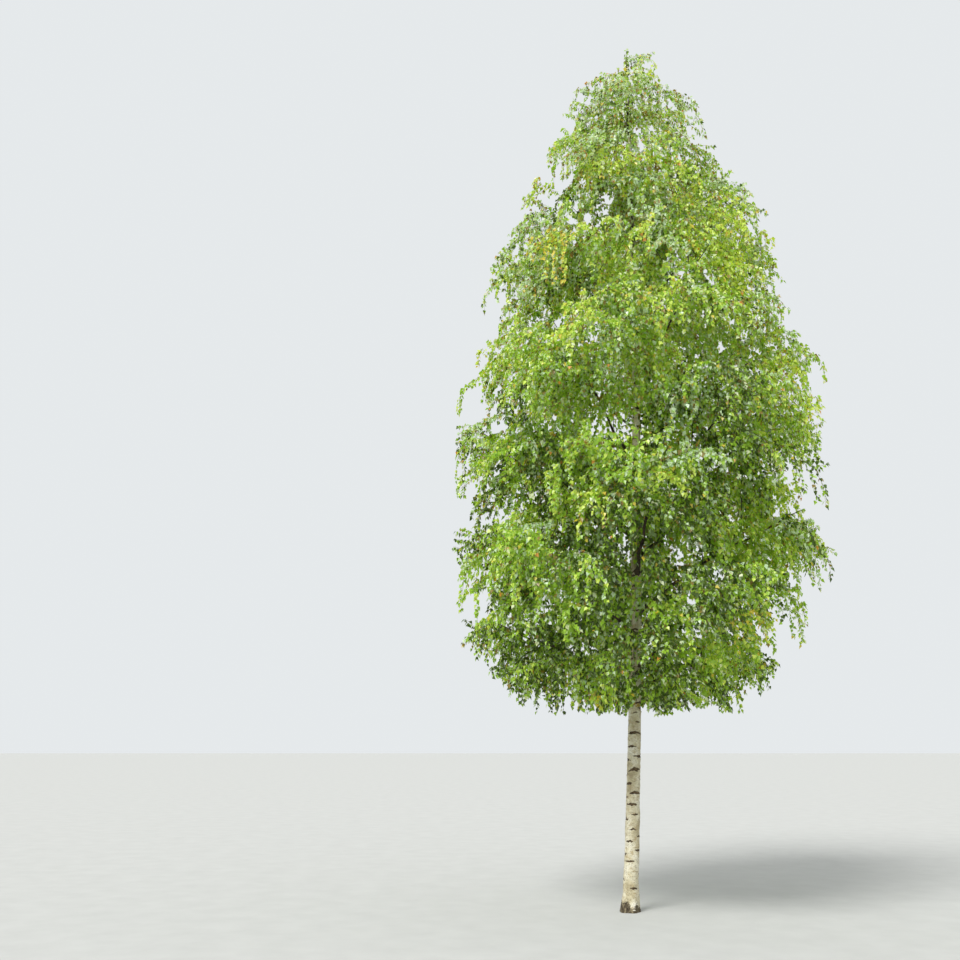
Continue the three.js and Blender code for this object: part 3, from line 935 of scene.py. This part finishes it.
def deal_tints(owners, starts, spray_count, rng):
    """The tint of every leaf: its spray's, or now and then a neighbouring one. High sprays get yellow
    green as painted light and pale blue green as painted sky reflection, low ones dark green as painted
    shade; single pale leaves are painted glints.
    """
    places = np.zeros((spray_count, 3))
    places[owners] = starts
    high = (places[:, 2] - TINT_MIDDLE) / TINT_RANGE

    def patchy(usual, patches, spread):
        return usual + PATCH_SHARE * noise_of(places, *patches) + rng.normal(0, spread, spray_count)

    # Painted light and shade: higher sprays, and some patches, get lighter tints, lower ones dark green
    lit = patchy(HIGH_LIT * np.minimum(high, LIT_LIMIT), LIT_PATCHES, LIT_SPREAD)
    # Painted sky reflection: higher sprays are dealt pale blue green more often
    sky_sheen = patchy(HIGH_SKY_SHEEN * high, SKY_SHEEN_PATCHES, SKY_SHEEN_SPREAD)
    tint = np.select([lit > border for border in LIT_BORDERS], [2, 1], 0)
    tint = np.where(sky_sheen > np.where(tint < 2, *SKY_SHEEN_BORDERS), 3, tint)
    tint = np.where(rng.random(spray_count) < YELLOW_SPRAYS, 4, tint)
    dealt = tint[owners]
    other = rng.random(len(owners))
    near_share = NEAR_SHARES[dealt]
    changes = [other < near_share, other < near_share + FAR_SHARES[dealt]]
    dealt = np.select(changes, [NEAR_TINTS[dealt], FAR_TINTS[dealt]], dealt)
    # Single odd leaves grow more common higher up; the pale ones are painted glints
    odd = rng.random(len(owners)) / (1 + HIGH_ODD * np.clip(high[owners], -1, 1))
    return np.select([odd < share for share in np.cumsum(ODD_SHARES)], [4, 5, 6, 7], dealt)


def leaf_piece(name, leaves, material):
    """Leaves of one tint, each folded in two. Only outer ones have a stalk and their whole outline."""
    z = np.clip(leaves[:, 0, 2], CROWN_FOOT, TREE_HEIGHT)
    outer = (off_axis(leaves[:, 0], z) > crown_radius(z) - OUTER_DEPTH) | (z < LOWEST_INNER)
    full, plain = leaves[outer], leaves[~outer][:, PLAIN_POINTS]
    first = np.arange(len(full))[:, None] * full.shape[1]
    after = full.shape[0] * full.shape[1] + np.arange(len(plain))[:, None] * plain.shape[1]
    threes = np.concatenate([first + [0, 1, 2], after + [0, 1, 2], after + [0, 2, 3]])
    full_halves = np.concatenate([first + [2, 3, 4, 5, 6], first + [2, 6, 7, 8, 9]])
    points = np.concatenate([full.reshape(-1, 3), plain.reshape(-1, 3)])
    piece = new_piece(name, points, [threes, full_halves], material, smooth=False)
    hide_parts(*MASSES)


def leaf_pieces(bare, twiglets, owners, spray_count, rng):
    on_twiglets = leaves_on(twiglets, NODE_STEP, rng)
    on_bare = leaves_on(bare, BARE_STEP, rng)
    starts, stalks = (np.concatenate([on_twiglets[k], on_bare[k]]) for k in (0, 1))
    leaf_owners = np.concatenate([owners[on_twiglets[2]], spray_count + on_bare[2]])
    blades = blades_of(starts, stalks, rng)
    kept = inside_crown(blades[:, 6], LEAF_OVERREACH) & inside_crown(blades[:, 2], LEAF_OVERREACH)
    blades, leaf_owners, starts = blades[kept], leaf_owners[kept], starts[kept]
    tints = deal_tints(leaf_owners, starts, spray_count + len(bare), rng)
    for k, (name, colour) in enumerate(LEAF_TINTS.items()):
        material = leaf_material(name, colour)
        own = blades[tints == k]
        shares = np.array_split(own, math.ceil(len(own) / PIECE_LEAVES))
        for number, points in enumerate(shares, 1):
            label = f"leaves_{name}" + (f"_{number}" if len(shares) > 1 else "")
            leaf_piece(label, points, material)


def catkin_piece(twiglets, rng):
    """Small catkins that hang from some of the twiglets."""
    which = rng.choice(len(twiglets), CATKINS, replace=False)
    starts = on_curves(twiglets[which], rng.uniform(*CATKIN_PLACES, CATKINS))
    hanging = unit(rng.normal(0, CATKIN_SWING, (CATKINS, 3)) - UP)
    size = rng.uniform(*CATKIN_SIZES, (CATKINS, 1))
    lines = starts[:, None] + hanging[:, None] * (CATKIN_STEPS * size)[..., None]
    kept = inside_crown(lines[:, -1], LEAF_OVERREACH)
    shape = tube_shapes(lines[kept], (CATKIN_RADII * size)[kept], CATKIN_SIDES)
    piece = new_piece("catkins", *shape, catkin_material())
    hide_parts(*MASSES)


# Trunk and boughs

def trunk_heights():
    """Heights of the trunk's rings, closest together at its foot."""
    heights, low = [], 0.0
    for high, step in TRUNK_RINGS:
        heights.append(np.arange(low, high - step / 2, step))
        low = high
    return np.concatenate(heights + [[TRUNK_TOP]])


def scar_list(rng):
    """Lens-shaped scars: height, direction, half width as an angle, half height, droop of the ends."""
    scars = []
    z = LOWEST_SCAR
    while z < TRUNK_TOP - HIGHEST_SCAR_GAP:
        size = rng.uniform(*SCAR_SIZES)
        thin = float(trunk_radius(z)) / TRUNK_RADIUS
        half = between(SCAR_HALVES, size ** SCAR_POWER) / thin ** 0.5
        tall = SCAR_HEIGHT * between(SCAR_TALLS, size * rng.uniform(*SCAR_FLATNESS)) * thin ** 0.5
        turn = TURN * len(scars) + rng.uniform(-SCAR_STRAY, SCAR_STRAY)
        scars.append((z, turn, half, tall, rng.uniform(*SCAR_DROOPS)))
        z += rng.uniform(*SCAR_STEPS)
    return np.array(scars)


def wrapped(angle):
    return (angle + np.pi) % (2 * np.pi) - np.pi


def scars_at(angle, z, scars, rough):
    """How deep a place lies in a scar, from 0 outside to 1 in its middle."""
    depth = np.zeros_like(angle)
    for height, turn, half, tall, droop in scars:
        near = np.abs(z[:, 0] - height) < SCAR_REACH * tall
        across = wrapped(angle[near] - turn) / half
        up = (z[near] - height + droop * tall * np.abs(across) ** SCAR_ARCH) / tall
        lens = 1 - across ** 2 - np.abs(up) + SCAR_ROUGHNESS * rough[near]
        depth[near] = np.maximum(depth[near], np.clip(lens * SCAR_SLOPE, 0, 1))
    return depth


def bough_roots():
    """Where each bough leaves the trunk: height, direction and radius."""
    for mass, limb in zip(plan[:BOUGH_COUNT], limbs):
        rise = mass.start[2] / norm(mass.start[:2])
        surface = mass.root[2] + trunk_radius(mass.root[2]) * rise
        yield surface, math.atan2(mass.out[1], mass.out[0]), limb.radius


def collars_at(angle, z, radius):
    """Swelling under each bough, and the dark brow over it, from 0 to 1."""
    collar, brow = np.zeros_like(angle), np.zeros_like(angle)
    for height, turn, thick in bough_roots():
        near = np.abs(z[:, 0] - height) < ROOT_REACH * thick
        across = wrapped(angle[near] - turn) * radius[near] / thick
        up = (z[near] - height) / thick
        swell = np.exp(-(across / COLLAR_REACH) ** 2 - ((up + COLLAR_DROP) / COLLAR_REACH) ** 2)
        collar[near] = np.maximum(collar[near], swell)
        arch = up - BROW_RISE + BROW_SLOPE * np.abs(across)
        arch = np.exp(-(arch / BROW_HEIGHT) ** 2 - (across / BROW_REACH) ** 4)
        ring = np.maximum(np.hypot(across, up) - RING_RADIUS, 0)
        ring = np.exp(-(ring / RING_WIDTH) ** 2)
        brow[near] = np.maximum(brow[near], np.maximum(arch, ring))
    return collar, brow


def grain(skin, name):
    press, scale, seed = TRUNK_NOISES[name]
    return noise_of(skin * [1, 1, press], scale, seed)


def foot_cracks(skin, rough):
    """How cracked the bark at the foot is, from 0 to 1, and how deep its cracks are."""
    z = skin[..., 2]
    uneven = CRACKED_HEIGHT * (1 + CRACKED_STRAY * grain(skin, "foot"))
    ragged = CRACKED_ROUGHNESS * rough * np.exp(-z / CRACKED_HEIGHT)
    cracked = np.clip(CRACKED_STRENGTH * np.exp(-(z / uneven) ** 2) + ragged, 0, 1)
    ridges = grain(skin, "ridges") + SMALL_RIDGES * grain(skin, "small ridges")
    return cracked, -CRACKS * cracked * np.clip(1 - CRACK_SLOPE * np.abs(ridges), 0, 1)


def trunk_piece(rng):
    heights = trunk_heights()
    angles = 2 * np.pi * np.arange(TRUNK_AROUND) / TRUNK_AROUND
    z, angle = np.meshgrid(heights, angles, indexing="ij")
    plain = trunk_radius(z)
    thin = plain / TRUNK_RADIUS
    flare = FLARE * (1 + FLARE_LOBE_SHARE * np.cos(FLARE_LOBES * angle)) * np.exp(-z / FLARE_HEIGHT)
    skin = np.stack([np.cos(angle) * plain, np.sin(angle) * plain, z], axis=-1)
    rough = grain(skin, "rough")
    scar = scars_at(angle, z, scar_list(rng), rough)
    collar, brow = collars_at(angle, z, plain)
    cracked, cracks = foot_cracks(skin, rough)
    lumps = LUMPS * grain(skin, "lumps") * thin + SMALL_LUMPS * LUMPS * grain(skin, "small lumps") * thin
    flakes = FLAKES * np.round(FLAKE_LEVELS * grain(skin, "flakes")) * thin
    rim = np.clip(scar * RIM_SLOPE, 0, 1) - scar
    relief = lumps + flakes + cracks + SCAR_RIM * rim - SCAR_DEPTH * scar * thin + COLLAR * collar * thin
    radius = plain + flare + relief * np.where(z > 0, 1, FOOT_RELIEF)
    offset = np.stack([np.cos(angle) * radius, np.sin(angle) * radius, np.zeros_like(z)], axis=-1)
    points = (axis_at(z) + offset).reshape(-1, 3)
    # A mask that grows with height for olive streaks: algae stain and painted shade under the crown
    stain_and_shade_height = np.clip((z - STAIN_AND_SHADE_FOOT) / STAIN_AND_SHADE_RANGE, 0, 1)
    marks = {"scar": scar, "brow": brow, "cracked": cracked, "stain_and_shade_height": stain_and_shade_height}
    piece = new_piece("trunk_bark", points, tube_faces(1, *z.shape), white_bark())
    for name, values in marks.items():
        layer = piece.data.attributes.new(name, "FLOAT", "POINT")
        layer.data.foreach_set("value", values.astype(np.float32).ravel())
    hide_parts("trunk")


def bough_pieces(material, rng):
    t = np.linspace(0, 1, BOUGH_RINGS)
    for k, limb in enumerate(limbs[:BOUGH_COUNT]):
        line = winding(limb.bough, t, rng.random(2), BOUGH_WINDING)
        length = length_of(limb.bough)
        radii = limb.radius + (limb.split_radius - limb.radius) * t
        surface = trunk_radius(plan[k].root[2]) / length
        radii = radii * (1 + COLLAR_SWELL * np.exp(-np.maximum(0, t - surface) * length / COLLAR_LENGTH))
        points, faces = tube_shapes(line[None], radii[None], BOUGH_AROUND)
        points = points.reshape(BOUGH_RINGS, BOUGH_AROUND, 3)
        bumps = np.ones((BOUGH_RINGS, BOUGH_AROUND))
        for height, scale, seed in BOUGH_BUMPS:
            bumps = bumps + height * noise_of(points, scale, seed + k)
        points = line[:, None] + (points - line[:, None]) * bumps[..., None]
        piece = new_piece(f"bough_{k + 1:02d}_bark", points.reshape(-1, 3), faces, material)
        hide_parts(f"bough_{k + 1:02d}")


def wood_pieces(stems, twigs, twiglets, material):
    """The stems and twigs as one piece, and the twiglets as another."""
    thick, thick_faces = tube_shapes(*map(np.array, zip(*stems)), STEM_AROUND)
    thin, thin_faces = tube_shapes(*map(np.array, zip(*twigs)), TWIG_AROUND)
    faces = [group for pair in zip(thick_faces, thin_faces) for group in (pair[0], pair[1] + len(thick))]
    wood = new_piece("stems_and_twigs", np.concatenate([thick, thin]), faces, material)
    lines = point_on(twiglets.swapaxes(0, 1)[:, :, None], np.linspace(0, 1, TWIGLET_RINGS))
    radii = np.tile(np.linspace(*TWIGLET_RADII, TWIGLET_RINGS), (len(lines), 1))
    fine = new_piece("twiglets", *tube_shapes(lines, radii, TWIGLET_AROUND), twiglet_bark())
    for piece in (wood, fine):
        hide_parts(*MASSES)


# Materials

def linear(colour):
    """A colour written as six hexadecimal digits, as Blender's linear values."""
    values = [int(colour[k:k + 2], 16) / 255 for k in (0, 2, 4)]
    return tuple(v / 12.92 if v <= 0.04045 else ((v + 0.055) / 1.055) ** 2.4 for v in values) + (1,)


class Paint:
    """A material under construction, with short calls for its nodes."""

    def __init__(self, name, roughness, specular):
        self.material = bpy.data.materials.new(name)
        self.material.use_nodes = True
        self.nodes = self.material.node_tree.nodes
        self.shader = self.nodes["Principled BSDF"]
        self.feed(self.shader, {"Roughness": roughness, "Specular IOR Level": specular})
        self.place = self.add("TexCoord", {}).outputs["Object"]

    def feed(self, node, inputs):
        """Sets inputs of a node to values, colours as text, or outputs of other nodes."""
        for key, value in inputs.items():
            if isinstance(value, bpy.types.NodeSocket):
                self.material.node_tree.links.new(value, node.inputs[key])
            else:
                node.inputs[key].default_value = linear(value) if isinstance(value, str) else value

    def add(self, kind, inputs):
        node = self.nodes.new("ShaderNode" + kind)
        self.feed(node, inputs)
        return node

    def noise(self, scale, press=1, detail=4, rough=0.55):
        pressed = self.add("Mapping", {"Vector": self.place, "Scale": (1, 1, press)}).outputs["Vector"]
        inputs = {"Vector": pressed, "Scale": scale, "Detail": detail, "Roughness": rough}
        return self.add("TexNoise", inputs).outputs["Fac"]

    def attribute(self, name):
        node = self.add("Attribute", {})
        node.attribute_name = name
        return node.outputs["Fac"]

    def math(self, operation, a, b):
        node = self.add("Math", {0: a, 1: b})
        node.operation = operation
        return node.outputs[0]

    def times(self, a, b):
        return self.math("MULTIPLY", a, b)

    def band(self, value, low, high):
        """From 0 at low to 1 at high."""
        node = self.add("MapRange", {"Value": value, "From Min": low, "From Max": high})
        node.interpolation_type = "SMOOTHSTEP"
        return node.outputs["Result"]

    def ramp(self, value, stops):
        node = self.add("ValToRGB", {"Fac": value})
        elements = node.color_ramp.elements
        while len(elements) < len(stops):
            elements.new(0.5)
        for element, (position, colour) in zip(elements, stops):
            element.position = position
            element.color = linear(colour)
        return node.outputs["Color"]

    def mix(self, share, a, b):
        node = self.add("Mix", {})
        node.data_type = "RGBA"
        self.feed(node, {"Factor": share, 6: a, 7: b})
        return node.outputs[2]

    def finished(self, colour, rough, bumps):
        """The material, with its colour, roughness and bumps."""
        value, low, high = rough
        spread = self.add("MapRange", {"Value": value, "To Min": low, "To Max": high})
        height, distance, strength = bumps
        bump = self.add("Bump", {"Height": height, "Distance": distance, "Strength": strength})
        shading = {"Roughness": spread.outputs["Result"], "Normal": bump.outputs["Normal"]}
        self.feed(self.shader, {"Base Color": colour} | shading)
        return self.material


def white_bark():
    paint = Paint("white_bark", 0.75, 0.3)
    blotches = paint.noise(7, 0.8, 6, 0.6)
    base = paint.ramp(blotches, ((0.3, "a69a7a"), (0.43, "c6bc9b"), (0.53, "dbd4b9"), (0.68, "ece8d8")))
    for noise, low, high, strength, colour in BARK_MARKS:
        mark = paint.band(paint.noise(*noise), low, high)
        base = paint.mix(paint.times(mark, strength), base, colour)
    # Olive streaks that grow with height: algae stain and painted shade under the crown
    streaks = paint.band(paint.noise(7, 0.22, 6, 0.65), 0.4, 0.66)
    streaks_of_stain_and_shade = paint.times(streaks, paint.attribute("stain_and_shade_height"))
    base = paint.mix(paint.times(streaks_of_stain_and_shade, STAIN_AND_SHADE), base, "8f8260")
    ragged = paint.times(paint.math("SUBTRACT", paint.noise(70, 1.5, 5, 0.75), 0.5), RAGGEDNESS)
    marks = (paint.attribute(name) for name in ("scar", "brow", "cracked"))
    depth, brow, foot = (paint.math("ADD", mark, ragged) for mark in marks)
    mottled = paint.noise(95, 1.7, 5, 0.7)
    inside = paint.ramp(mottled, ((0.38, "2b2017"), (0.49, "4f3e2a"), (0.59, "7a6547"), (0.68, "b09d7a")))
    inside = paint.mix(paint.band(depth, *SCAR_HOLLOW), "2b2119", inside)
    scar = paint.band(depth, *MARK_EDGE)
    base = paint.mix(scar, base, inside)
    dark = paint.ramp(mottled, ((0.36, "241b14"), (0.52, "4a3a2b"), (0.68, "7a664e")))
    base = paint.mix(paint.band(brow, *MARK_EDGE), base, dark)
    grey = paint.ramp(paint.noise(40, 0.5), ((0.35, "30281d"), (0.54, "5d523d"), (0.68, "9a8f72")))
    base = paint.mix(paint.band(foot, *FOOT_EDGE), base, grey)
    height = paint.math("SUBTRACT", paint.noise(60, 4, 6, 0.7), paint.times(scar, 0.6))
    return paint.finished(base, (blotches, 0.62, 0.88), (height, *WHITE_BUMPS))


def dark_bark():
    paint = Paint("dark_bark", 0.7, 0.35)
    base = paint.ramp(paint.noise(18, detail=6), ((0.3, "1f1813"), (0.5, "3a2d24"), (0.72, "5d4c3e")))
    spots = paint.band(paint.noise(130, detail=2), 0.64, 0.7)
    base = paint.mix(paint.times(spots, 0.7), base, "9a8874")
    bumps = paint.noise(90, detail=6, rough=0.7)
    return paint.finished(base, (paint.noise(40), 0.5, 0.85), (bumps, 0.002, 0.7))


def catkin_material():
    paint = Paint("catkin", 0.7, 0.3)
    stops = ((0.35, "4d2f1c"), (0.5, "85542f"), (0.7, "b58a56"))
    base = paint.ramp(paint.noise(300, 0.6), stops)
    return paint.finished(base, (paint.noise(50), 0.55, 0.85), (paint.noise(500), 0.0008, 0.8))


def twiglet_bark():
    paint = Paint("twiglet_bark", 0.55, 0.4)
    base = paint.ramp(paint.noise(14), ((0.3, "4a3020"), (0.55, "7a5638"), (0.75, "a48058")))
    return paint.finished(base, (paint.noise(50), 0.4, 0.7), (paint.noise(220), 0.0005, 0.5))


def leaf_material(name, colour):
    """A plain tint with a slight sheen, that lets some light through."""
    paint = Paint(f"leaf_{name}", 0.4, LEAF_GLOSS)
    paint.finished(colour, (paint.noise(35), 0.2, 0.42), (paint.noise(160, rough=0.6), 0.0015, 0.6))
    tinted = [min(1.0, value * share) for value, share in zip(linear(colour), LEAF_THROUGH)]
    through = paint.add("BsdfTranslucent", {"Color": (*tinted, 1)}).outputs["BSDF"]
    ends = {1: paint.shader.outputs["BSDF"], 2: through}
    blend = paint.add("MixShader", {"Fac": LEAF_TRANSLUCENCE} | ends)
    paint.feed(paint.nodes["Material Output"], {"Surface": blend.outputs["Shader"]})
    return paint.material


# Studio

def floor():
    paint = Paint("pale_floor", 0.9, 0.2)
    paint.feed(paint.shader, {"Base Color": paint.ramp(paint.noise(3), FLOOR_COLOURS)})
    mesh = bpy.data.meshes.new("floor")
    half = FLOOR_SIDE / 2
    corners = [(-half, -half, 0), (half, -half, 0), (half, half, 0), (-half, half, 0)]
    mesh.from_pydata(corners, [], [(0, 1, 2, 3)])
    mesh.materials.append(paint.material)
    plane = placed("floor", mesh)
    plane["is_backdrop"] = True


def lights():
    world = bpy.data.worlds.new("pale_sky")
    scene.world = world
    world.use_nodes = True
    sky = world.node_tree.nodes["Background"]
    sky.inputs["Color"].default_value = linear(SKY_COLOUR)
    sky.inputs["Strength"].default_value = SKY_STRENGTH
    sun = bpy.data.lights.new("soft_key", "SUN")
    sun.energy = KEY_STRENGTH
    sun.angle = math.radians(KEY_SPREAD)
    lamp = placed("soft_key", sun)
    lamp.rotation_euler = (math.radians(KEY_TILT), 0, math.radians(KEY_TURN))


def camera():
    data = bpy.data.cameras.new("camera")
    data.sensor_width = SENSOR_WIDTH
    data.lens = CAMERA_LENS
    data.clip_end = FARTHEST_SEEN
    viewer = placed("camera", data)
    viewer.location = CAMERA_PLACE
    viewer.rotation_euler = (math.radians(90 + CAMERA_PITCH), 0, 0)
    scene.camera = viewer


def write_sizes():
    boxes = {"cad": CAD_BOX, "dressed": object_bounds()}
    plain = {name: [[float(v) for v in corner] for corner in box] for name, box in boxes.items()}


chance = np.random.default_rng(SEED)
stems, twigs, bare, twiglets, owners, spray_count = grow_crown(chance)
trunk_piece(chance)
bark = dark_bark()
bough_pieces(bark, chance)
wood_pieces(stems, twigs, twiglets, bark)
leaf_pieces(bare, twiglets, owners, spray_count, chance)
catkin_piece(twiglets, chance)
floor()
lights()
camera()
scene.view_settings.view_transform = "Standard"
write_sizes()
